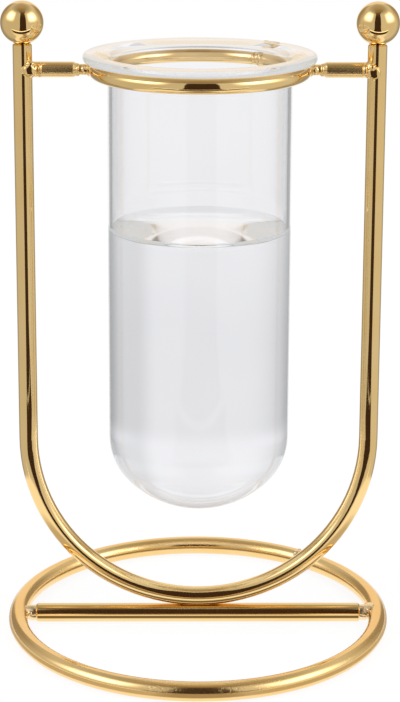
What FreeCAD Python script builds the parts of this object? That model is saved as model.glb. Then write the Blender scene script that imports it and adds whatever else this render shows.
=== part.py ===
import FreeCAD, Part
import math
import os

# Test tube vase: a glass test tube with a flared lip hangs in a small wire ring, which two short
# arms hold between the uprights of a U-shaped rod.  The U stands on a crossbar that spans a base ring.
# Millimetres, +Z up, X across the stand.  The origin is the centre of the base ring on the table.

# Glass tube
tube_diameter = 47.8
tube_length = 122.0
tube_wall = 1.2
tube_corner_radius = 16.0
tube_dome_flattening = 3.4
lip_thickness = 2.0
lip_throat_radius = 2.4

# Room left round the hanging tube
tube_ring_clearance = 0.85
lip_overhang = 1.45
lip_seat_clearance = 0.3
tube_floor_clearance = 24.7

# Base ring, crossbar and U frame are all of one rod
rod_diameter = 5.0
base_overhang = 3.5
upright_rise = 6.7
upright_end_chamfer = 0.35
frame_weld_sink = 0.14
crossbar_neck_diameter = 2.7
crossbar_neck_length = 1.5
crossbar_cone_length = 1.2
crossbar_foot_flare = 0.45

# Ball finials, each with a small flat that sits on the end of the rod
finial_diameter = 11.2
finial_flat_diameter = 3.4

# Holder ring and its two arms
holder_wire_diameter = 4.0
arm_diameter = 4.0
arm_reach = 18.75
arm_neck_diameter = 2.8
arm_neck_length = 2.4
arm_cone_length = 1.4
arm_foot_flare = 0.4

# Round nugget of weld metal where an arm meets its upright, just proud of the rod before and behind
nugget_stand_out = 0.28
nugget_inset = 0.87

# Butt welds that close the two rings: under the base and on top of the holder they are dressed flush
closing_weld_angle = 50.0
base_closing_weld_length = 3.0
base_closing_weld_rise = 0.2
holder_closing_weld_length = 3.6
holder_closing_weld_rise = 0.3

# Sizes that follow from the ones above
rod_radius = rod_diameter / 2
wire_radius = holder_wire_diameter / 2
arm_radius = arm_diameter / 2
tube_radius = tube_diameter / 2
tube_dome_radius = tube_radius + tube_dome_flattening
holder_radius = tube_radius + tube_ring_clearance + wire_radius
frame_radius = holder_radius + arm_reach
base_radius = frame_radius + base_overhang
frame_bend_height = rod_diameter - frame_weld_sink + rod_radius + frame_radius
frame_floor_height = frame_bend_height - frame_radius + rod_radius
tube_bottom_height = frame_floor_height + tube_floor_clearance
lip_top_height = tube_bottom_height + tube_length
lip_underside_height = lip_top_height - lip_thickness
holder_height = lip_underside_height - lip_seat_clearance - wire_radius
frame_top_height = holder_height + upright_rise

origin = FreeCAD.Vector(0, 0, 0)
axis_x = FreeCAD.Vector(1, 0, 0)
axis_z = FreeCAD.Vector(0, 0, 1)


def at(x, y, z):
    return FreeCAD.Vector(x, y, z)


def in_side_view(x, z):
    return FreeCAD.Vector(x, 0, z)


def outline(points_and_arcs):
    """Close a run of points into a face; a pair in the run is an arc: its middle point and its end."""
    edges = []
    start = points_and_arcs[0]
    here = start
    for step in points_and_arcs[1:]:
        if isinstance(step, tuple):
            middle, end = step
            edges.append(Part.Arc(here, middle, end).toShape())
        else:
            end = step
            edges.append(Part.makeLine(here, end))
        here = end
    edges.append(Part.makeLine(here, start))
    return Part.Face(Part.Wire(edges))


def on_arc(centre, radius, degrees):
    """Point of a circle in the side view, measured from +X towards +Z."""
    turn = math.radians(degrees)
    return in_side_view(centre.x + radius * math.cos(turn), centre.z + radius * math.sin(turn))


def closing_weld(wire_centre_radius, wire_r, height, length, rise, flush_side):
    """Barrel of weld metal round the wire where the ends of a ring meet, dressed flush on one side."""
    turn = math.radians(closing_weld_angle)
    half = length / 2
    profile = outline([
        in_side_view(-half, 0),
        in_side_view(-half, wire_r - rise),
        (in_side_view(0, wire_r + rise), in_side_view(half, wire_r - rise)),
        in_side_view(half, 0),
    ])
    barrel = profile.revolve(origin, axis_x, 360)
    barrel.rotate(origin, axis_z, closing_weld_angle + 90)
    barrel.translate(at(wire_centre_radius * math.cos(turn), wire_centre_radius * math.sin(turn), height))
    flush = at(0, 0, height + flush_side * wire_r)
    dressing = Part.makeCylinder(wire_centre_radius + length, length, flush, axis_z * flush_side)
    return barrel.cut(dressing)


def closed_ring(wire_centre_radius, wire_r, height, weld_length, weld_rise, flush_side):
    """Round wire bent to a circle, its seam turned to where the ends are welded together."""
    ring = Part.makeTorus(wire_centre_radius, wire_r)
    ring.rotate(origin, axis_z, closing_weld_angle)
    ring.translate(at(0, 0, height))
    return ring.fuse(closing_weld(wire_centre_radius, wire_r, height, weld_length, weld_rise, flush_side))


def necked_end(end_x, rod_r, neck_r, neck_length, cone_length, foot_flare, ring_wire_r):
    """Half outline of a rod end that tapers to a neck and spreads again where it meets a ring's wire.

    The points run from the centre of the wire at end_x out to where the rod has its full radius.
    """
    face = ring_wire_r
    neck_start = face + foot_flare
    neck_end = face + neck_length
    cone_end = neck_end + cone_length
    foot_bend = foot_flare * math.cos(math.radians(45))
    return [
        in_side_view(end_x, 0),
        in_side_view(end_x, neck_r + foot_flare),
        in_side_view(end_x + face, neck_r + foot_flare),
        (
            in_side_view(end_x + neck_start - foot_bend, neck_r + foot_flare - foot_bend),
            in_side_view(end_x + neck_start, neck_r),
        ),
        in_side_view(end_x + neck_end, neck_r),
        in_side_view(end_x + cone_end, rod_r),
    ]


def mirrored(shape):
    """The same shape on the other side of the stand."""
    return shape.mirror(origin, axis_x)


def make_base_ring():
    return closed_ring(
        base_radius, rod_radius, rod_radius, base_closing_weld_length, base_closing_weld_rise, -1
    )


def make_u_frame():
    """Rod swept down one upright, round the half circle and up the other upright."""
    top_left = in_side_view(-frame_radius, frame_top_height)
    bend_left = in_side_view(-frame_radius, frame_bend_height)
    bend_bottom = in_side_view(0, frame_bend_height - frame_radius)
    bend_right = in_side_view(frame_radius, frame_bend_height)
    top_right = in_side_view(frame_radius, frame_top_height)
    path = Part.Wire([
        Part.makeLine(top_left, bend_left),
        Part.Arc(bend_left, bend_bottom, bend_right).toShape(),
        Part.makeLine(bend_right, top_right),
    ])
    section = Part.Wire([Part.makeCircle(rod_radius, top_left, axis_z)])
    rod = path.makePipeShell([section], True, False)
    rims = [
        edge for edge in rod.Edges
        if isinstance(edge.Curve, Part.Circle)
        and abs(edge.CenterOfMass.z - frame_top_height) < upright_end_chamfer
        and abs(edge.Curve.Radius - rod_radius) < upright_end_chamfer
    ]
    return rod.makeChamfer(upright_end_chamfer, rims)


def make_crossbar(base_ring, u_frame):
    """Round bar across the base ring, necked to a welded foot at each end, with a saddle for the U."""
    end = necked_end(
        -base_radius, rod_radius, crossbar_neck_diameter / 2, crossbar_neck_length,
        crossbar_cone_length, crossbar_foot_flare, rod_radius,
    )
    half = outline(end + [in_side_view(0, rod_radius), origin]).revolve(origin, axis_x, 360)
    bar = half.fuse(mirrored(half)).removeSplitter()
    bar.translate(at(0, 0, rod_radius))
    return bar.cut(base_ring).cut(u_frame)


def make_right_finial():
    """Ball with a flat underneath, seated on the end of an upright."""
    ball_r = finial_diameter / 2
    flat_r = finial_flat_diameter / 2
    rise = math.sqrt(ball_r ** 2 - flat_r ** 2)
    flat_angle = -math.degrees(math.asin(rise / ball_r))
    centre = at(frame_radius, 0, frame_top_height + rise)
    return Part.makeSphere(ball_r, centre, axis_z, flat_angle, 90, 360)


def make_holder_ring():
    return closed_ring(
        holder_radius, wire_radius, holder_height, holder_closing_weld_length, holder_closing_weld_rise, 1
    )


def make_right_arm(holder_ring, u_frame):
    """Short rod from the holder ring to an upright: necked at the ring, with a nugget at the upright."""
    end = necked_end(
        holder_radius, arm_radius, arm_neck_diameter / 2, arm_neck_length,
        arm_cone_length, arm_foot_flare, wire_radius,
    )
    nugget_x = frame_radius - nugget_inset
    profile = outline(end + [in_side_view(nugget_x, arm_radius), in_side_view(nugget_x, 0)])
    rod = profile.revolve(origin, axis_x, 360)
    nugget = Part.makeSphere(rod_radius + nugget_stand_out, in_side_view(nugget_x, 0))
    arm = rod.fuse(nugget)
    arm.translate(at(0, 0, holder_height))
    return arm.cut(u_frame).cut(holder_ring)


def make_glass_tube():
    """Blown glass turned about its axis: domed bottom, straight wall, throat and flat lip."""
    outer = tube_radius
    inner = tube_radius - tube_wall

    def bottom(corner_r, dome_r, wall_r, dome_centre):
        """Arc of the dome, then arc of the corner, both for one skin of the glass."""
        to_corner = wall_r - corner_r
        between = dome_r - corner_r
        drop = math.sqrt(between ** 2 - to_corner ** 2)
        corner_centre = in_side_view(to_corner, dome_centre.z - drop)
        meet_angle = -math.degrees(math.atan2(drop, to_corner))
        low = on_arc(dome_centre, dome_r, -90)
        dome_middle = on_arc(dome_centre, dome_r, (meet_angle - 90) / 2)
        meet = on_arc(corner_centre, corner_r, meet_angle)
        corner_middle = on_arc(corner_centre, corner_r, meet_angle / 2)
        wall_foot = on_arc(corner_centre, corner_r, 0)
        return low, dome_middle, meet, corner_middle, wall_foot

    dome_centre = in_side_view(0, tube_bottom_height + tube_dome_radius)
    low, dome_middle, meet, corner_middle, foot = bottom(
        tube_corner_radius, tube_dome_radius, outer, dome_centre
    )
    inner_low, inner_dome_middle, inner_meet, inner_corner_middle, inner_foot = bottom(
        tube_corner_radius - tube_wall, tube_dome_radius - tube_wall, inner, dome_centre
    )

    throat = in_side_view(outer + lip_throat_radius, lip_underside_height - lip_throat_radius)
    inner_throat_radius = lip_throat_radius + tube_wall
    mouth = in_side_view(inner + inner_throat_radius, lip_top_height - inner_throat_radius)
    lip_radius = holder_radius + wire_radius + lip_overhang
    edge = in_side_view(lip_radius - lip_thickness / 2, lip_underside_height + lip_thickness / 2)

    profile = outline([
        low,
        (dome_middle, meet),
        (corner_middle, foot),
        on_arc(throat, lip_throat_radius, 180),
        (on_arc(throat, lip_throat_radius, 135), on_arc(throat, lip_throat_radius, 90)),
        on_arc(edge, lip_thickness / 2, -90),
        (on_arc(edge, lip_thickness / 2, 0), on_arc(edge, lip_thickness / 2, 90)),
        on_arc(mouth, inner_throat_radius, 90),
        (on_arc(mouth, inner_throat_radius, 135), on_arc(mouth, inner_throat_radius, 180)),
        inner_foot,
        (inner_corner_middle, inner_meet),
        (inner_dome_middle, inner_low),
    ])
    return profile.revolve(origin, axis_z, 360)


def main():
    os.makedirs("parts", exist_ok=True)
    base_ring = make_base_ring()
    u_frame = make_u_frame()
    holder_ring = make_holder_ring()
    right_arm = make_right_arm(holder_ring, u_frame)
    right_finial = make_right_finial()
    parts = {
        "base_ring": base_ring,
        "base_crossbar": make_crossbar(base_ring, u_frame),
        "u_frame": u_frame,
        "finial_left": mirrored(right_finial),
        "finial_right": right_finial,
        "holder_ring": holder_ring,
        "arm_left": mirrored(right_arm),
        "arm_right": right_arm,
        "glass_tube": make_glass_tube(),
    }
    for name, shape in parts.items():
        shape.exportStep("parts/" + name + ".step")
        print(name, len(shape.Solids), shape.isValid(), round(shape.Volume, 3))


main()
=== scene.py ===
import math

import bmesh
import bpy
from mathutils import Matrix, Vector, noise


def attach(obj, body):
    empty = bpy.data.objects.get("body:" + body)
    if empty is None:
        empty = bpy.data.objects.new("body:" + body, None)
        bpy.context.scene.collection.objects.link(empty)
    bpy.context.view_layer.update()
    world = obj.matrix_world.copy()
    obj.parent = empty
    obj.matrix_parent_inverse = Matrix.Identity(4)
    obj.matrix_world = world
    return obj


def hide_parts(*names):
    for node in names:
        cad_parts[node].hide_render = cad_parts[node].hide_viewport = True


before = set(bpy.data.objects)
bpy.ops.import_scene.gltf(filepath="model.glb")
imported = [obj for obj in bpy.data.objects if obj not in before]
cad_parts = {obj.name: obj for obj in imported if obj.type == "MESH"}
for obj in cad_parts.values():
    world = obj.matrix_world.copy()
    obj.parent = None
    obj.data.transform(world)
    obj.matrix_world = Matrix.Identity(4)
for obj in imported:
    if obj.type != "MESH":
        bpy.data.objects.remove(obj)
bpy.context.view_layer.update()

MM = 0.001
DEGREES = 180 / math.pi
QUARTER_TURN = 90
WHITE = (1, 1, 1, 1)

# Glass tube, in millimetres: the same sizes as the solid it stands for
TUBE_RADIUS = 23.9
TUBE_WALL = 1.2
TUBE_BOTTOM = 34.56
TUBE_LENGTH = 122.0
CORNER_RADIUS = 16.0
DOME_RADIUS = 27.3
LIP_RADIUS = 30.2
LIP_THICKNESS = 2.0
THROAT_RADIUS = 2.4

# Water in the tube, in millimetres: its level, how high and how far inwards it is drawn up at the wall, and
# how far its sides lie inside the glass
WATER_LEVEL = 109.8
MENISCUS_RISE = 2.1
MENISCUS_SPREAD = 1.4
WATER_FILM = 0.02

# Steps round the tube and along the curves of the turned profiles
STEPS_PER_TURN = 192
DOME_STEPS = 16
CORNER_STEPS = 20
THROAT_STEPS = 14
EDGE_STEPS = 18
MOUTH_STEPS = 18
SURFACE_STEPS = 28
ON_AXIS = 1e-6

# How much light bends: into glass, from water into glass, into water, and where water only touches the glass
GLASS_IOR = 1.5
WET_GLASS_IOR = 1.128
WATER_IOR = 1.333
NO_BEND_IOR = 1.0

# Clear glass and water: their two tones, the ripple in the blown glass in metres, and the blur of open water
CLEAR_TONE = (0.985, 0.9855, 0.99, 1)
DEEPER_CLEAR_TONE = (0.975, 0.9765, 0.982, 1)
CLEAR_CLOUD_SCALE = 40.0
CLEAR_CLOUD_RANGE = (0.3, 0.7)
RIPPLE_SCALE = 70.0
RIPPLE_STRETCH = (1.0, 1.0, 0.25)
GLASS_RIPPLE = 0.00004
WATER_BLUR = 0.07

# Light that has gone round in the glass this often is lost in it, and the glass shows a painted pale grey
# glow there
MOST_TURNS_INSIDE = 3.5
MOST_STEPS = 11.5
LOST_LIGHT = (0.7, 0.71, 0.7, 1)

# Wire stand, in millimetres and degrees: where its welds are
FRAME_RADIUS = 45.5
HOLDER_RADIUS = 26.75
HOLDER_HEIGHT = 152.26
BASE_RADIUS = 49.0
ROD_RADIUS = 2.5
CLOSING_WELD_ANGLE = 50

# Weld metal: how uneven a drop is, how close its waves are, how far the next drop's waves are from its own,
# the fineness of a drop, and the grain and smoothing of the mesh that joins the drops
DROP_UNEVENNESS = 0.07
DROP_WAVES = 1.5
NEXT_DROP_ACROSS = 3.1
NEXT_DROP_DEEPER = 1.7
DROP_FINENESS = 4
WELD_GRAIN = 0.09
WELD_SMOOTHING = 0.5
WELD_SMOOTHING_ROUNDS = 8

# Gold plate: its tones, the scales of its clouds, worn patches and pits and the values of the noise between
# which each comes up, how much duller clouds, lines and pits make it, and its relief in metres
ROD_TONE = (0.965, 0.70, 0.325, 1)
BASE_RING_TONE = (0.97, 0.685, 0.31, 1)
BASE_WELD_TONE = (0.975, 0.77, 0.48, 1)
DEEPER_SHARES = (0.98, 0.94, 0.84, 1)
GOLD_CLOUD_SCALE = 60.0
GOLD_CLOUD_RANGE = (0.35, 0.7)
WORN_SCALE = 110.0
WORN_RANGE = (0.42, 0.58)
PIT_SCALE = 1600.0
PIT_RANGE = (0.56, 0.68)
CLOUDS_DULLER = 0.02
LINES_DULLER = 0.03
PITS_DULLER = 0.12
GOLD_RELIEF = 0.00001
GOLD_RELIEF_SHARE = 0.3

# Photographer's table, in millimetres: its white paper, and the bright paper that the gold mirrors
TABLE_HALF_WIDTH = 600
TABLE_FRONT = -450
TABLE_BACK = 900
TABLE_CORNER = 60
TABLE_CORNER_STEPS = 8
PAPER_TONE = (0.93, 0.93, 0.93, 1)
PAPER_FIBRE_TONE = (0.95, 0.95, 0.945, 1)
PAPER_FIBRE_SCALE = 500.0
PAPER_OWN_LIGHT = 0.9
BRIGHT_PAPER_RADIUS = 122
BRIGHT_PAPER_FADE = 12
BRIGHT_PAPER_STEPS = 96
BRIGHT_PAPER_LIGHT = 1.03
PAPER_SHADOW_TONE = (1, 0.75, 0.45, 1)

# Shadows on the bright paper. The name says which way a range goes: out from the middle, ahead to the camera
# or across, in millimetres, or round from the camera, in degrees
INSIDE_RING_OUT = (45.0, 47.5)
BAR_SHADOW = 0.8
BAR_SHADOW_AHEAD = (3.0, 3.8, 8.5, 10.0)
BEND_SHADOW = 0.7
BEND_SHADOW_AHEAD = (17.0, 20.0)
BEND_SHADOW_ACROSS = (26.0, 40.0)
BACK_SHADOW = 0.7
BACK_SHADOW_OUT = (40.5, 43.5)
BACK_SHADOW_AHEAD = (-12.0, -4.0)
FRONT_SHADOW = 0.6
FRONT_SHADOW_ROUND = (7.0, 30.0)
SIDE_SHADOW = 0.44
SIDE_SHADOW_LOSS = 0.27
SIDE_SHADOW_ROUND = (95.0, 130.0)
SIDE_SHADOW_OUT = (62.0, 80.0)
OUTSIDE_RING_OUT = (52.1, 53.0)

# Painted dark reflection that only the gold sees: a dark floor with a step in it, and a dark card at its far
# end,
# both towards the camera, in millimetres
DARK_FLOOR_NEAR = -123
DARK_FLOOR_STEP = -166
DARK_FLOOR_STEP_RISE = 10.4
DARK_FLOOR_FAR = -204
DARK_CARD_PLACE = -268
DARK_CARD_LEFT = -74
DARK_CARD_RIGHT = 88
DARK_CARD_FOOT_SPREAD = 14
DARK_CARD_FOOT_HEIGHT = 100
DARK_CARD_WIDENS_AT = 560
DARK_CARD_TOP = 1165
DARK_CARD_TOP_HALF = 340
DARK_CARD_PALER_FROM = 300
DARK_CARD_FADES_FROM = 700
# Tones of the painted dark reflection: a faint mottle between two dark tones, and paler up the card
DARK_REFLECTION_MOTTLE_SCALE = 30.0
DARK_REFLECTION_TONE = (0.0425, 0.024, 0.016, 1)
DARK_REFLECTION_OTHER_TONE = (0.05, 0.03, 0.02, 1)
PALER_DARK_REFLECTION_TONE = (0.38, 0.29, 0.18, 1)

# Studio round the table, in degrees. A name ends in the angle that the range is of, as studio() tells them.
# Over two angles a thing comes up or goes, and over four it comes up and goes again
RIGHT_HAND_TURN = (-20.0, 20.0)
CEILING_RISE = (45.0, 70.0)
CORNER_SWING = (100.0, 142.0)
CORNER_TOP_RISE = (25.0, 45.0)
WARM_CORNER_RISE = (-6.0, 4.0)
BACKDROP_SWING = (155.0, 163.0)
BACKDROP_TOP_RISE = (35.0, 56.0)
PANEL_SWING = (32.0, 58.0, 70.0, 108.0)
PANEL_RISE = (4.0, 30.0, 38.0, 62.0)
PANEL_LOWER_AT_RIGHT = 5
STRIP_RISE = (60.0, 74.0)
STRIP_END_OVER = (105.0, 120.0)
STRIP_LIGHTER_OVER = (40.0, 108.0)
AHEAD_SWING = (48.0, 60.0)
CRESCENT_OVER = (-57.0, -55.0, -43.5, -42.5)
TABLE_EDGE_OVER = (-43.5, -42.5, -39.5, -38.5)
WHITE_FLOOR_SWING = (40.0, 75.0)
WHITE_FLOOR_OVER = (-58.0, -56.0)

# Half width of the strip overhead, where it starts to fade and ends, as a share of the way out to the side
STRIP_HALF_WIDTH = (0.22, 0.5)

# Light of the studio's parts, as the gold mirrors them: 1 is white
WALL_LIGHT = 0.60
RIGHT_WALL_MORE = 0.08
CEILING_LIGHT = 0.42
CORNER_LIGHT = 0.34
BACKDROP_LIGHT = 0.95
PANEL_MORE = 1.9
STRIP_LIGHT = 0.045
STRIP_END_LIGHT = 0.47
WHITE_FLOOR_LIGHT = 1.0
CRESCENT_LIGHT = 0.06
TABLE_EDGE_MORE = 1.2
COOL_TINT = (1.0, 1.02, 1.22, 1)
WARM_TINT = (1.0, 0.8, 0.55, 1)
STRIP_WARMTH = 0.8
CORNER_WARMTH = 0.65

# Room as it shows straight through the glass: its light, how much less there is to the sides and low down,
# how much more steeply down, and what share of the sides' loss is taken back high up and steeply down
GLASS_TINT = (0.985, 0.985, 1.0, 1)
THROUGH_LIGHT = 0.965
LEFT_NEAR_ASIDE = (14.0, 55.0)
LEFT_NEAR_LESS = 0.27
LEFT_FAR_ASIDE = (42.0, 62.0)
LEFT_FAR_LESS = 0.09
RIGHT_NEAR_ASIDE = (14.0, 24.0)
RIGHT_NEAR_LESS = 0.15
RIGHT_FAR_ASIDE = (32.0, 60.0)
RIGHT_FAR_LESS = 0.32
LOW_RISE = (-16.0, -9.0)
LOW_LESS = 0.095
STEEP_RISE = (-50.0, -30.0)
STEEP_MORE = 0.18
HIGH_RISE = (5.0, 40.0)
SIDES_TAKEN_BACK = 0.8

# Lamps, in metres and watts
LAMP_SIZE = 0.6
LAMP_POWER = 3.0
LAMP_LEFT_PLACE = (-0.7, -0.3, 0.9)
LAMP_RIGHT_PLACE = (0.7, -0.35, 0.9)
LAMP_AIM = (0, 0, 0.08)

# Camera: place in millimetres, angles in radians, lengths in pixels of a picture 702 pixels high
CAMERA_PLACE = (-6.115, -531.393, 235.117)
CAMERA_PITCH = 0.24084
CAMERA_YAW = 0.01183
CAMERA_ROLL = -0.00389
FOCAL_PIXELS = 2087.9
PICTURE_HEIGHT = 702
LENS_AXIS_ROW = 250
SENSOR_WIDTH = 36.0
NEAREST_IN_METRES = 0.01


class Wire:
    """An output of a node. Arithmetic on it adds a Math node for each operator."""

    def __init__(self, recipe, socket):
        self.recipe = recipe
        self.socket = socket

    def __add__(self, other):
        return self.recipe.math("ADD", self, other)

    def __radd__(self, other):
        return self.recipe.math("ADD", other, self)

    def __sub__(self, other):
        return self.recipe.math("SUBTRACT", self, other)

    def __rsub__(self, other):
        return self.recipe.math("SUBTRACT", other, self)

    def __mul__(self, other):
        return self.recipe.math("MULTIPLY", self, other)

    def __rmul__(self, other):
        return self.recipe.math("MULTIPLY", other, self)

    def __truediv__(self, other):
        return self.recipe.math("DIVIDE", self, other)

    def __rtruediv__(self, other):
        return self.recipe.math("DIVIDE", other, self)

    def __pow__(self, other):
        return self.recipe.math("POWER", self, other)

    def __gt__(self, other):
        return self.recipe.math("GREATER_THAN", self, other)

    def __lt__(self, other):
        return self.recipe.math("LESS_THAN", self, other)

    def __abs__(self):
        return self.recipe.math("ABSOLUTE", self)


class Recipe:
    """The node tree of a material or of the world."""

    def __init__(self, owner):
        owner.use_nodes = True
        self.tree = owner.node_tree
        self.tree.nodes.clear()

    def add(self, kind, settings, inputs, output=0):
        """Put in one node: its settings first, then the values or wires of its sockets."""
        node = self.tree.nodes.new(kind)
        for name, value in settings.items():
            setattr(node, name, value)
        for name, value in inputs.items():
            if isinstance(value, Wire):
                self.tree.links.new(value.socket, node.inputs[name])
            else:
                node.inputs[name].default_value = value
        return Wire(self, node.outputs[output]) if len(node.outputs) else None

    def math(self, operation, *values):
        return self.add("ShaderNodeMath", {"operation": operation}, dict(enumerate(values)))

    def larger(self, first, second):
        return self.math("MAXIMUM", first, second)

    def ease(self, value, start, end, low=0.0, high=1.0):
        """Smooth step of a wire: low before start, high after end."""
        return self.add(
            "ShaderNodeMapRange",
            {"interpolation_type": "SMOOTHSTEP"},
            {"Value": value, "From Min": start, "From Max": end, "To Min": low, "To Max": high},
        )

    def up_to(self, value, start, end):
        """1 before start, going to 0 at end."""
        return 1 - self.ease(value, start, end)

    def band(self, value, start, full, fades, end):
        """1 from full to where it fades, and 0 before start and after end."""
        return self.ease(value, start, full) * self.up_to(value, fades, end)

    def blend(self, share, first, second):
        """Colour that goes from the first to the second as share goes from 0 to 1."""
        colour_sockets = {0: share, 6: first, 7: second}
        return self.add("ShaderNodeMix", {"data_type": "RGBA"}, colour_sockets, 2)

    def mottle(self, place, scale, detail=2.0):
        """Soft random variation between 0 and 1."""
        return self.add("ShaderNodeTexNoise", {}, {"Vector": place, "Scale": scale, "Detail": detail})

    def stretched(self, place, stretch):
        return self.add("ShaderNodeMapping", {}, {"Vector": place, "Scale": stretch})

    def place(self):
        return self.add("ShaderNodeTexCoord", {}, {}, "Object")

    def parts(self, vector):
        """The three numbers of a vector."""
        first = self.add("ShaderNodeSeparateXYZ", {}, {0: vector})
        node = first.socket.node
        return [Wire(self, node.outputs[axis]) for axis in "XYZ"]

    def unrolled(self, vector, radius):
        """Place on a ring as if the ring were laid out straight: out from the middle, along, and up."""
        across, depth, up = self.parts(vector)
        turn = self.math("ARCTAN2", depth, across)
        return self.add(
            "ShaderNodeCombineXYZ", {},
            {"X": from_middle(across, depth), "Y": turn * radius, "Z": up},
        )

    def ray(self, kind):
        return self.add("ShaderNodeLightPath", {}, {}, kind)

    def glow(self, colour, strength):
        return self.add("ShaderNodeEmission", {}, {"Color": colour, "Strength": strength})

    def background(self, colour, strength):
        return self.add("ShaderNodeBackground", {}, {"Color": colour, "Strength": strength})

    def choose(self, share, first, second):
        """Shader that goes from the first to the second as share goes from 0 to 1."""
        return self.add("ShaderNodeMixShader", {}, {0: share, 1: first, 2: second})

    def bump(self, height, distance, strength):
        return self.add(
            "ShaderNodeBump", {},
            {"Height": height, "Distance": distance, "Strength": strength},
            "Normal",
        )

    def finish(self, shader, kind="ShaderNodeOutputMaterial"):
        self.add(kind, {}, {"Surface": shader})


def from_middle(across, depth):
    """Distance from the upright line through the middle."""
    return (across * across + depth * depth) ** 0.5


def covered(light, share, by):
    """Light with another one laid over it, as far as share says."""
    return light * (1 - share) + by * share


def material(name):
    made = bpy.data.materials.new(name)
    return made, Recipe(made)


def polished_gold(name, satin, tone=ROD_TONE, grain=(1500, 1500, 60), depth=0.25, pits=0.0, ring_radius=0):
    """Gold plate on polished wire: faint clouds of colour and gloss, drawing lines along the wire, and pits.

    Satin is how dull the plate is, and grain how close the lines are on each axis, least along the wire.
    Depth and pits are how deep lines and pits go. With a ring's radius in millimetres the lines go round it.
    """
    made, mix = material(name)
    place = mix.place()
    cloud = mix.mottle(place, GOLD_CLOUD_SCALE, 3.0)
    along = mix.unrolled(place, ring_radius * MM) if ring_radius else place
    lines = mix.mottle(mix.stretched(along, grain), 1.0)
    deeper = tuple(part * share for part, share in zip(tone, DEEPER_SHARES))
    colour = mix.blend(mix.ease(cloud, *GOLD_CLOUD_RANGE), tone, deeper)
    dullness = satin + CLOUDS_DULLER * cloud + LINES_DULLER * lines
    height = depth * lines
    if pits:
        worn = mix.ease(mix.mottle(place, WORN_SCALE, 1.0), *WORN_RANGE)
        pit = mix.ease(mix.mottle(place, PIT_SCALE, 1.0), *PIT_RANGE) * worn
        height = height - pits * pit
        dullness = dullness + PITS_DULLER * pit
    shader = mix.add(
        "ShaderNodeBsdfPrincipled", {},
        {
            "Base Color": colour,
            "Metallic": 1.0,
            "Roughness": dullness,
            "Normal": mix.bump(height, GOLD_RELIEF, GOLD_RELIEF_SHARE),
        },
        "BSDF",
    )
    mix.finish(shader)
    return made


def clear(name, ior, ripple=0.0, blur=0.0):
    """Clear glass or water, which bends light by the given index, with a ripple in its surface or a blur."""
    made, mix = material(name)
    place = mix.place()
    cloud = mix.mottle(place, CLEAR_CLOUD_SCALE)
    inputs = {
        "Base Color": mix.blend(mix.ease(cloud, *CLEAR_CLOUD_RANGE), CLEAR_TONE, DEEPER_CLEAR_TONE),
        "Roughness": blur,
        "IOR": ior,
        "Transmission Weight": 1.0,
    }
    if ripple:
        waves = mix.mottle(mix.stretched(place, RIPPLE_STRETCH), RIPPLE_SCALE, 1.0)
        inputs["Normal"] = mix.bump(waves, ripple, 1.0)
    passing = mix.add("ShaderNodeBsdfPrincipled", {}, inputs, "BSDF")
    # Painted light: where light is lost in the glass or water, it glows a pale grey in place of the room's
    # light
    turns_inside = mix.ray("Glossy Depth") > MOST_TURNS_INSIDE
    steps = mix.ray("Ray Depth") > MOST_STEPS
    lost = mix.larger(turns_inside, steps)
    mix.finish(mix.choose(lost, passing, mix.glow(LOST_LIGHT, 1.0)))
    return made


def arc(centre, radius, start, end, steps):
    """Points of an arc, from its start to its end in degrees."""
    points = []
    for i in range(steps + 1):
        turn = math.radians(start + (end - start) * i / steps)
        points.append((centre[0] + radius * math.cos(turn), centre[1] + radius * math.sin(turn)))
    return points


def put_in_scene(name, data):
    made = bpy.data.objects.new(name, data)
    bpy.context.scene.collection.objects.link(made)
    return made


def shade_smooth(mesh):
    for face in mesh.polygons:
        face.use_smooth = True


def bottom_skin(corner_radius, dome_radius, wall_radius):
    """Profile of one skin of the domed bottom, from the axis to the foot of the straight wall."""
    to_corner = wall_radius - corner_radius
    dome_centre = (0, TUBE_BOTTOM + DOME_RADIUS)
    drop = math.sqrt((dome_radius - corner_radius) ** 2 - to_corner ** 2)
    corner_centre = (to_corner, dome_centre[1] - drop)
    meet = -math.degrees(math.atan2(drop, to_corner))
    dome = arc(dome_centre, dome_radius, -90, meet, DOME_STEPS)
    corner = arc(corner_centre, corner_radius, meet, 0, CORNER_STEPS)
    return dome + corner[1:]


def turned(name, profile, first_made, second_made, second_from):
    """Closed mesh turned from a profile that starts and ends on the axis, in millimetres.

    It has the first material up to the given row of its profile, and the second from there on.
    """
    vertices = []
    faces = []
    rows = []
    for radius, height in profile:
        if radius < ON_AXIS:
            rows.append([len(vertices)])
            vertices.append((0, 0, height * MM))
            continue
        rows.append(list(range(len(vertices), len(vertices) + STEPS_PER_TURN)))
        for i in range(STEPS_PER_TURN):
            angle = 2 * math.pi * i / STEPS_PER_TURN
            vertices.append((radius * math.cos(angle) * MM, radius * math.sin(angle) * MM, height * MM))
    for low, high in zip(rows, rows[1:]):
        for i in range(STEPS_PER_TURN):
            j = (i + 1) % STEPS_PER_TURN
            if len(low) == 1:
                faces.append((low[0], high[j], high[i]))
            elif len(high) == 1:
                faces.append((low[i], low[j], high[0]))
            else:
                faces.append((low[i], low[j], high[j], high[i]))
    mesh = bpy.data.meshes.new(name)
    mesh.from_pydata(vertices, [], faces)
    mesh.materials.append(first_made)
    mesh.materials.append(second_made)
    shade_smooth(mesh)
    mesh.update()
    for index, face in enumerate(mesh.polygons):
        if index // STEPS_PER_TURN >= second_from:
            face.material_index = 1
    return put_in_scene(name, mesh)


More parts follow.
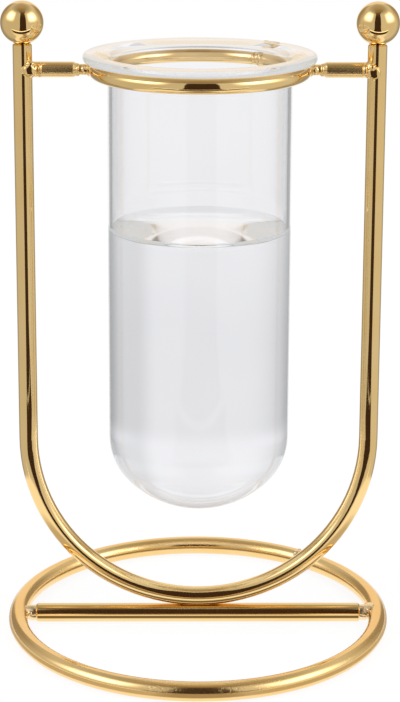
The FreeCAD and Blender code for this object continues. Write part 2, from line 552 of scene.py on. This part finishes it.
def blown_tube():
    """The glass: dome, wall, throat and flat lip with a round edge, then the inner skin back down."""
    inner_radius = TUBE_RADIUS - TUBE_WALL
    top = TUBE_BOTTOM + TUBE_LENGTH
    under = top - LIP_THICKNESS
    mouth_radius = THROAT_RADIUS + TUBE_WALL
    half = LIP_THICKNESS / 2
    outer = bottom_skin(CORNER_RADIUS, DOME_RADIUS, TUBE_RADIUS)
    inner = bottom_skin(CORNER_RADIUS - TUBE_WALL, DOME_RADIUS - TUBE_WALL, inner_radius)
    profile = outer
    profile += arc((TUBE_RADIUS + THROAT_RADIUS, under - THROAT_RADIUS), THROAT_RADIUS, 180, 90, THROAT_STEPS)
    profile += arc((LIP_RADIUS - half, under + half), half, -90, 90, EDGE_STEPS)
    profile += arc((inner_radius + mouth_radius, top - mouth_radius), mouth_radius, 90, 180, MOUTH_STEPS)
    profile += [(inner_radius, WATER_LEVEL + MENISCUS_RISE)]
    first_wet = len(profile) - 1
    profile += inner[::-1]
    dry = clear("blown_glass", GLASS_IOR, ripple=GLASS_RIPPLE)
    wet = clear("glass_against_water", WET_GLASS_IOR)
    piece = turned("glass_tube_blown", profile, dry, wet, first_wet)
    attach(piece, "tube")
    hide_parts("glass_tube")


def water_fill():
    """Water up to its level, drawn up at the wall; its sides lie a hair inside the glass."""
    radius = TUBE_RADIUS - TUBE_WALL - WATER_FILM
    skin = bottom_skin(CORNER_RADIUS - TUBE_WALL - WATER_FILM, DOME_RADIUS - TUBE_WALL - WATER_FILM, radius)
    surface = []
    for i in range(SURFACE_STEPS + 1):
        inwards = radius * (i / SURFACE_STEPS) ** 2
        rise = MENISCUS_RISE * math.exp(-inwards / MENISCUS_SPREAD)
        surface.append((radius - inwards, WATER_LEVEL + rise))
    surface[-1] = (0, WATER_LEVEL)
    against_glass = clear("water_against_glass", NO_BEND_IOR)
    open_water = clear("open_water", WATER_IOR, blur=WATER_BLUR)
    piece = turned("water", skin + surface, against_glass, open_water, len(skin))
    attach(piece, "tube")


def weld_metal(name, drops, made, turned_by=0):
    """Weld metal as frozen drops run together, each its centre and three half sizes in millimetres.

    A drop may be turned about its own upright axis and the whole about the stand's, in degrees.
    """
    build = bmesh.new()
    for number, (centre, sizes, *own_turn) in enumerate(drops):
        ball = bmesh.ops.create_icosphere(build, subdivisions=DROP_FINENESS, radius=1.0)
        facing = Matrix.Rotation(math.radians(sum(own_turn)), 3, "Z")
        own_waves = Vector((number * NEXT_DROP_ACROSS, number * NEXT_DROP_DEEPER, 0))
        for vertex in ball["verts"]:
            out = vertex.co.copy()
            swell = 1 + DROP_UNEVENNESS * noise.noise(out * DROP_WAVES + own_waves)
            vertex.co = Vector(centre) + facing @ Vector(s * swell * o for s, o in zip(sizes, out))
    loose = bpy.data.meshes.new(name + "_drops")
    build.to_mesh(loose)
    build.free()
    drop_set = put_in_scene(name + "_drops", loose)
    run = drop_set.modifiers.new("run_together", "REMESH")
    run.mode = "VOXEL"
    run.voxel_size = WELD_GRAIN
    settle = drop_set.modifiers.new("settle", "SMOOTH")
    settle.factor = WELD_SMOOTHING
    settle.iterations = WELD_SMOOTHING_ROUNDS
    bpy.context.view_layer.update()
    settled = drop_set.evaluated_get(bpy.context.evaluated_depsgraph_get())
    mesh = bpy.data.meshes.new_from_object(settled)
    bpy.data.objects.remove(drop_set)
    bpy.data.meshes.remove(loose)
    mesh.name = name
    mesh.transform(Matrix.Rotation(math.radians(turned_by), 4, "Z") @ Matrix.Scale(MM, 4))
    mesh.materials.clear()
    mesh.materials.append(made)
    shade_smooth(mesh)
    piece = put_in_scene(name, mesh)
    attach(piece, "stand")


def frame_welds(made):
    """Where the arms meet the uprights: a drop pressed flat on the front of the joint and beads round it."""
    h = HOLDER_HEIGHT
    weld_metal("weld_upright_left", [
        ((-FRAME_RADIUS + 1.9, -2.0, h), (1.75, 1.1, 1.65), 7.7),
        ((-FRAME_RADIUS + 2.0, -2.8, h), (1.5, 0.4, 1.4), 7.7),
        ((-FRAME_RADIUS + 2.1, -2.0, h + 1.7), (1.2, 0.9, 0.8)),
        ((-FRAME_RADIUS + 3.4, -1.0, h + 0.1), (0.6, 1.7, 1.6)),
        ((-FRAME_RADIUS + 4.6, -0.25, h + 0.05), (0.9, 2.1, 2.1)),
    ], made)
    weld_metal("weld_upright_right", [
        ((FRAME_RADIUS - 0.95, -2.3, h - 0.35), (1.75, 0.95, 1.7), -6.5),
        ((FRAME_RADIUS - 1.05, -2.95, h - 0.45), (1.6, 0.35, 1.5), -6.5),
        ((FRAME_RADIUS - 1.5, -3.0, h + 1.1), (0.85, 0.7, 0.75)),
        ((FRAME_RADIUS - 3.2, -0.8, h), (1.0, 1.9, 1.8)),
        ((FRAME_RADIUS - 1.1, -1.9, h - 2.1), (0.9, 0.6, 0.5)),
    ], made)


def holder_welds(made):
    """Where the arms' necks meet the holder ring, and the sleeve of metal where the ring's own ends meet."""
    h = HOLDER_HEIGHT
    for side, name in ((-1, "weld_holder_left"), (1, "weld_holder_right")):
        weld_metal(name, [
            ((side * (HOLDER_RADIUS + 2.7), -0.4, h + 0.05), (1.5, 1.45, 1.4)),
            ((side * (HOLDER_RADIUS + 4.6), -0.1, h - 0.05), (0.75, 1.65, 1.7)),
        ], made)
    weld_metal("weld_holder_seam", [
        ((HOLDER_RADIUS + 0.95, -1.3, h), (3.5, 1.5, 2.2)),
        ((HOLDER_RADIUS + 1.0, 0, h), (3.55, 1.6, 2.25)),
        ((HOLDER_RADIUS + 0.95, 1.3, h), (3.5, 1.5, 2.2)),
        ((HOLDER_RADIUS + 3.4, 0, h + 0.75), (2.0, 2.9, 1.5)),
    ], made, CLOSING_WELD_ANGLE + 1)


def base_welds(made):
    """Where the crossbar's necks meet the base ring, and the seam where the ring's own ends meet."""
    sleeve = (3.3, 2.1, 2.1)
    weld_metal("weld_base_left", [
        ((-BASE_RADIUS + 4.0, -0.2, ROD_RADIUS + 0.1), sleeve),
        ((-BASE_RADIUS + 3.2, -1.6, ROD_RADIUS + 0.3), (0.9, 0.8, 0.9)),
    ], made)
    weld_metal("weld_base_right", [
        ((BASE_RADIUS - 4.0, -0.2, ROD_RADIUS + 0.1), sleeve),
        ((BASE_RADIUS - 1.9, -0.2, ROD_RADIUS + 1.55), (1.9, 2.4, 1.0)),
        ((BASE_RADIUS - 3.0, -1.7, ROD_RADIUS - 0.2), (0.9, 0.7, 0.8)),
    ], made)
    weld_metal("weld_base_seam", [
        ((BASE_RADIUS, 0, ROD_RADIUS + 0.1), (2.6, 0.9, 2.55)),
        ((BASE_RADIUS - 1.3, -0.5, ROD_RADIUS + 1.9), (1.1, 1.2, 0.9)),
    ], made, CLOSING_WELD_ANGLE + 3)


def flat_piece(name, corners, made):
    """Flat stage piece with the given corners, in millimetres."""
    mesh = bpy.data.meshes.new(name)
    mesh.from_pydata([(x * MM, y * MM, z * MM) for x, y, z in corners], [], [tuple(range(len(corners)))])
    mesh.materials.append(made)
    piece = put_in_scene(name, mesh)
    return piece


def gold_only_piece(name, corners, made):
    """Flat stage piece that only mirrored light meets."""
    piece = flat_piece(name, corners, made)
    piece.visible_camera = False
    piece.visible_diffuse = False
    piece.visible_transmission = False
    piece.visible_shadow = False


def straight_through(mix):
    """1 for light that comes through glass or water, unless it met exactly one mirror on its way, else 0."""
    other_than_one_mirror = abs(mix.ray("Glossy Depth") - 1) > 0.5
    return mix.ray("Is Transmission Ray") * other_than_one_mirror


def not_in_glass(mix, fade, shader):
    """The shader, fading to nothing, and nothing at all for light that comes straight through the glass."""
    nothing = mix.add("ShaderNodeBsdfTransparent", {}, {}, "BSDF")
    return mix.choose(mix.larger(fade, straight_through(mix)), shader, nothing)


def table():
    """White paper on the photographer's table, with rounded corners, nearly shadowless to the camera."""
    corners = []
    for x, y, start in (
        (TABLE_HALF_WIDTH, TABLE_FRONT, -90), (TABLE_HALF_WIDTH, TABLE_BACK, 0),
        (-TABLE_HALF_WIDTH, TABLE_BACK, 90), (-TABLE_HALF_WIDTH, TABLE_FRONT, 180),
    ):
        centre = (x - math.copysign(TABLE_CORNER, x), y - math.copysign(TABLE_CORNER, y))
        rounded = arc(centre, TABLE_CORNER, start, start + 90, TABLE_CORNER_STEPS)
        corners += [(px, py, 0) for px, py in rounded]
    made, mix = material("white_paper")
    fibre = mix.mottle(mix.place(), PAPER_FIBRE_SCALE)
    colour = mix.blend(fibre, PAPER_TONE, PAPER_FIBRE_TONE)
    lit = mix.add("ShaderNodeBsdfDiffuse", {}, {"Color": colour}, "BSDF")
    mix.finish(mix.choose(mix.ray("Is Camera Ray") * PAPER_OWN_LIGHT, lit, mix.glow(WHITE, 1.0)))
    paper = flat_piece("table_paper", corners, made)
    paper.visible_glossy = False
    paper.visible_transmission = False


def paper_shadow(mix, across, depth, out):
    """How dark the paper is, from 0 to 1: light comes from behind, so a wire's shadow falls to its front."""
    ahead = 0 - depth
    swing = abs(mix.math("ARCTAN2", across, ahead)) * DEGREES
    inside = mix.up_to(out, *INSIDE_RING_OUT)
    before_bar = BAR_SHADOW * mix.band(ahead, *BAR_SHADOW_AHEAD)
    before_bend = BEND_SHADOW * mix.ease(ahead, *BEND_SHADOW_AHEAD)
    before_bend = before_bend * mix.up_to(abs(across), *BEND_SHADOW_ACROSS)
    before_back = BACK_SHADOW * mix.up_to(out, *BACK_SHADOW_OUT) * mix.up_to(ahead, *BACK_SHADOW_AHEAD)
    within = mix.larger(mix.larger(before_bar, before_bend), before_back)
    front = FRONT_SHADOW * mix.up_to(swing, *FRONT_SHADOW_ROUND)
    side = SIDE_SHADOW - SIDE_SHADOW_LOSS * mix.ease(swing, *SIDE_SHADOW_ROUND)
    side = side * mix.up_to(out, *SIDE_SHADOW_OUT)
    before_ring = mix.larger(front, side) * mix.ease(out, *OUTSIDE_RING_OUT)
    return inside * within + before_ring


def bright_paper():
    """Bright paper round the foot, with the wires' shadows, as the gold mirrors it."""
    made, mix = material("bright_paper")
    across, depth = mix.parts(mix.place())[:2]
    out = from_middle(across, depth)
    fade = mix.ease(out, (BRIGHT_PAPER_RADIUS - BRIGHT_PAPER_FADE) * MM, BRIGHT_PAPER_RADIUS * MM)
    shadow = paper_shadow(mix, across / MM, depth / MM, out / MM)
    colour = mix.blend(shadow, WHITE, PAPER_SHADOW_TONE)
    mix.finish(not_in_glass(mix, fade, mix.glow(colour, BRIGHT_PAPER_LIGHT * (1 - shadow))))
    rim = [(x, y, 0) for x, y in arc((0, 0), BRIGHT_PAPER_RADIUS, 0, 360, BRIGHT_PAPER_STEPS)[:-1]]
    gold_only_piece("bright_paper", rim, made)


def dark_floor_and_card():
    """Painted dark reflection, seen only in the gold: dark floor in two parts, an upright step, a card
    widening upwards.
    """
    made, mix = material("painted_dark_reflection")
    place = mix.place()
    up = mix.parts(place)[2]
    dark_mottle = mix.mottle(place, DARK_REFLECTION_MOTTLE_SCALE)
    dark = mix.blend(dark_mottle, DARK_REFLECTION_TONE, DARK_REFLECTION_OTHER_TONE)
    # Painted light: the dark reflection grows paler up the card, then fades out towards its top
    paler = mix.ease(up, DARK_CARD_PALER_FROM * MM, DARK_CARD_TOP * MM)
    fade = mix.ease(up, DARK_CARD_FADES_FROM * MM, DARK_CARD_TOP * MM)
    colour = mix.blend(paler, dark, PALER_DARK_REFLECTION_TONE)
    mix.finish(not_in_glass(mix, fade, mix.glow(colour, 1.0)))

    left = DARK_CARD_LEFT - DARK_CARD_FOOT_SPREAD
    right = DARK_CARD_RIGHT + DARK_CARD_FOOT_SPREAD
    for name, from_edge, to_edge in (
        ("dark_floor_near", (DARK_FLOOR_STEP, 0), (DARK_FLOOR_NEAR, 0)),
        ("dark_floor_step", (DARK_FLOOR_STEP, 0), (DARK_FLOOR_STEP, DARK_FLOOR_STEP_RISE)),
        ("dark_floor_far", (DARK_CARD_PLACE, 0), (DARK_FLOOR_FAR, 0)),
    ):
        corners = [(left, *from_edge), (right, *from_edge), (right, *to_edge), (left, *to_edge)]
        gold_only_piece(name, corners, made)
    outline = [
        (left, 0),
        (right, 0),
        (DARK_CARD_RIGHT, DARK_CARD_FOOT_HEIGHT),
        (DARK_CARD_RIGHT, DARK_CARD_WIDENS_AT),
        (DARK_CARD_TOP_HALF, DARK_CARD_TOP),
        (-DARK_CARD_TOP_HALF, DARK_CARD_TOP),
        (DARK_CARD_LEFT, DARK_CARD_WIDENS_AT),
        (DARK_CARD_LEFT, DARK_CARD_FOOT_HEIGHT),
    ]
    gold_only_piece("painted_dark_reflection", [(x, DARK_CARD_PLACE, z) for x, z in outline], made)


def room_in_gold(mix, across, swing, rise, over, right_hand):
    """Walls, ceiling, panels and strip overhead, and low down ahead a white floor with a dark band in it."""
    walls = WALL_LIGHT + RIGHT_WALL_MORE * right_hand
    walls = covered(walls, mix.ease(rise, *CEILING_RISE), CEILING_LIGHT)
    corner = mix.ease(swing, *CORNER_SWING) * mix.up_to(rise, *CORNER_TOP_RISE)
    walls = covered(walls, corner, CORNER_LIGHT)
    backdrop = mix.ease(swing, *BACKDROP_SWING) * mix.up_to(rise, *BACKDROP_TOP_RISE)
    walls = covered(walls, backdrop, BACKDROP_LIGHT)
    panel = mix.band(swing, *PANEL_SWING) * mix.band(rise + PANEL_LOWER_AT_RIGHT * right_hand, *PANEL_RISE)
    light = walls + PANEL_MORE * panel

    strip = mix.up_to(abs(across), *STRIP_HALF_WIDTH) * mix.ease(rise, *STRIP_RISE)
    strip = strip * mix.up_to(over, *STRIP_END_OVER)
    light = covered(light, strip, mix.ease(over, *STRIP_LIGHTER_OVER, STRIP_LIGHT, STRIP_END_LIGHT))
    ahead = mix.up_to(swing, *AHEAD_SWING)
    crescent = ahead * mix.band(over, *CRESCENT_OVER)
    table_edge = ahead * mix.band(over, *TABLE_EDGE_OVER)
    white_floor = mix.up_to(swing, *WHITE_FLOOR_SWING) * mix.up_to(over, *WHITE_FLOOR_OVER)
    light = covered(light, white_floor, WHITE_FLOOR_LIGHT)
    light = covered(light, crescent, CRESCENT_LIGHT) + TABLE_EDGE_MORE * table_edge

    warm = mix.larger(STRIP_WARMTH * strip, crescent)
    warm = mix.larger(warm, CORNER_WARMTH * corner * mix.ease(rise, *WARM_CORNER_RISE))
    colour = mix.blend(warm, mix.blend(panel, WHITE, COOL_TINT), WARM_TINT)
    return mix.background(colour, light)


def room_through_glass(mix, swing, rise, right_hand):
    """Plain pale room, greyer to both sides, as it shows straight through the glass and the water.

    Aside is how far a place is from straight ahead or straight behind, whichever is nearer, in degrees.
    """
    aside = QUARTER_TURN - abs(swing - QUARTER_TURN)
    left_side = mix.ease(aside, *LEFT_NEAR_ASIDE, high=LEFT_NEAR_LESS)
    left_side = left_side + mix.ease(aside, *LEFT_FAR_ASIDE, high=LEFT_FAR_LESS)
    right_side = mix.ease(aside, *RIGHT_NEAR_ASIDE, high=RIGHT_NEAR_LESS)
    right_side = right_side + mix.ease(aside, *RIGHT_FAR_ASIDE, high=RIGHT_FAR_LESS)
    sides = covered(left_side, right_hand, right_side)
    low = mix.up_to(rise, *LOW_RISE)
    high = mix.ease(rise, *HIGH_RISE)
    steep = mix.up_to(rise, *STEEP_RISE)
    sides = sides * (1 - SIDES_TAKEN_BACK * high) * (1 - SIDES_TAKEN_BACK * steep)
    return mix.background(GLASS_TINT, THROUGH_LIGHT - LOW_LESS * low + STEEP_MORE * steep - sides)


def studio():
    """The room round the table: white to the camera, else as the gold mirrors it or the glass passes it on.

    Angles are in degrees. Turn goes round from the camera's side, right hand positive, and swing is its size.
    Rise is the angle above the horizon. Over is 0 at the horizon on the camera's side, 90 straight up and
    negative below the horizon.
    """
    world = bpy.data.worlds.new("studio")
    bpy.context.scene.world = world
    mix = Recipe(world)
    across, depth, up = mix.parts(mix.add("ShaderNodeTexCoord", {}, {}, "Generated"))
    turn = mix.math("ARCTAN2", across, 0 - depth) * DEGREES
    rise = mix.math("ARCSINE", up) * DEGREES
    over = mix.math("ARCTAN2", up, 0 - depth) * DEGREES
    swing = abs(turn)
    right_hand = mix.ease(turn, *RIGHT_HAND_TURN)

    in_gold = room_in_gold(mix, across, swing, rise, over, right_hand)
    through_glass = room_through_glass(mix, swing, rise, right_hand)
    plain = mix.background(WHITE, 1.0)
    mirrored = mix.choose(mix.ray("Is Glossy Ray"), plain, in_gold)
    not_camera = mix.choose(straight_through(mix), mirrored, through_glass)
    mix.finish(mix.choose(mix.ray("Is Camera Ray"), not_camera, plain), "ShaderNodeOutputWorld")


def lamp(name, place):
    """Soft box that lights the paper and stays out of the glass and of the reflections."""
    data = bpy.data.lights.new(name, "AREA")
    data.shape = "DISK"
    data.size = LAMP_SIZE
    data.energy = LAMP_POWER
    made = put_in_scene(name, data)
    made.location = place
    made.rotation_euler = (Vector(LAMP_AIM) - Vector(place)).to_track_quat("-Z", "Y").to_euler()
    made.visible_glossy = False
    made.visible_transmission = False
    made.visible_camera = False


def camera():
    """Pinhole camera at the photograph's place and angle."""
    data = bpy.data.cameras.new("camera")
    data.sensor_width = SENSOR_WIDTH
    data.lens = FOCAL_PIXELS / PICTURE_HEIGHT * SENSOR_WIDTH
    data.shift_y = LENS_AXIS_ROW / PICTURE_HEIGHT - 0.5
    data.clip_start = NEAREST_IN_METRES
    made = put_in_scene("camera", data)
    forward = Vector((
        math.sin(CAMERA_YAW) * math.cos(CAMERA_PITCH),
        math.cos(CAMERA_YAW) * math.cos(CAMERA_PITCH),
        -math.sin(CAMERA_PITCH),
    ))
    right = Vector((math.cos(CAMERA_YAW), -math.sin(CAMERA_YAW), 0))
    down = forward.cross(right)
    turned_right = math.cos(CAMERA_ROLL) * right + math.sin(CAMERA_ROLL) * down
    turned_down = math.cos(CAMERA_ROLL) * down - math.sin(CAMERA_ROLL) * right
    axes = Matrix((turned_right, -turned_down, -forward)).transposed().to_4x4()
    made.matrix_world = Matrix.Translation(Vector(CAMERA_PLACE) * MM) @ axes
    bpy.context.scene.camera = made


def plate(made, *nodes):
    """Give the material to these metal solids."""
    for node in nodes:
        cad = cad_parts[node]
        cad.data.materials.clear()
        cad.data.materials.append(made)


camera()
studio()
table()
bright_paper()
dark_floor_and_card()
lamp("key_left", LAMP_LEFT_PLACE)
lamp("key_right", LAMP_RIGHT_PLACE)

rod_gold = polished_gold("gold_rod", satin=0.03)
bar_gold = polished_gold("gold_bar", satin=0.05, grain=(60, 1500, 1500))
ring_gold = polished_gold(
    "gold_base_ring", tone=BASE_RING_TONE, satin=0.13, grain=(2200, 220, 2200), depth=0.7, pits=3.5,
    ring_radius=BASE_RADIUS,
)
ball_gold = polished_gold("gold_ball", satin=0.02, grain=(300, 300, 300), depth=0.05)
wire_gold = polished_gold("gold_wire", satin=0.04, grain=(2000, 60, 2000), ring_radius=HOLDER_RADIUS)
arm_gold = polished_gold("gold_arm", satin=0.19, grain=(40, 1600, 1600), depth=0.3)
weld_gold = polished_gold("gold_weld", satin=0.03, grain=(500, 500, 500), depth=0.06)
base_weld_gold = polished_gold(
    "gold_base_weld", tone=BASE_WELD_TONE, satin=0.2, grain=(500, 500, 500), depth=0.1,
)
plate(ring_gold, "base_ring")
plate(bar_gold, "base_crossbar")
plate(rod_gold, "u_frame")
plate(ball_gold, "finial_left", "finial_right")
plate(wire_gold, "holder_ring")
plate(arm_gold, "arm_left", "arm_right")
frame_welds(weld_gold)
holder_welds(weld_gold)
base_welds(base_weld_gold)
blown_tube()
water_fill()

bpy.context.scene.view_settings.view_transform = "Standard"
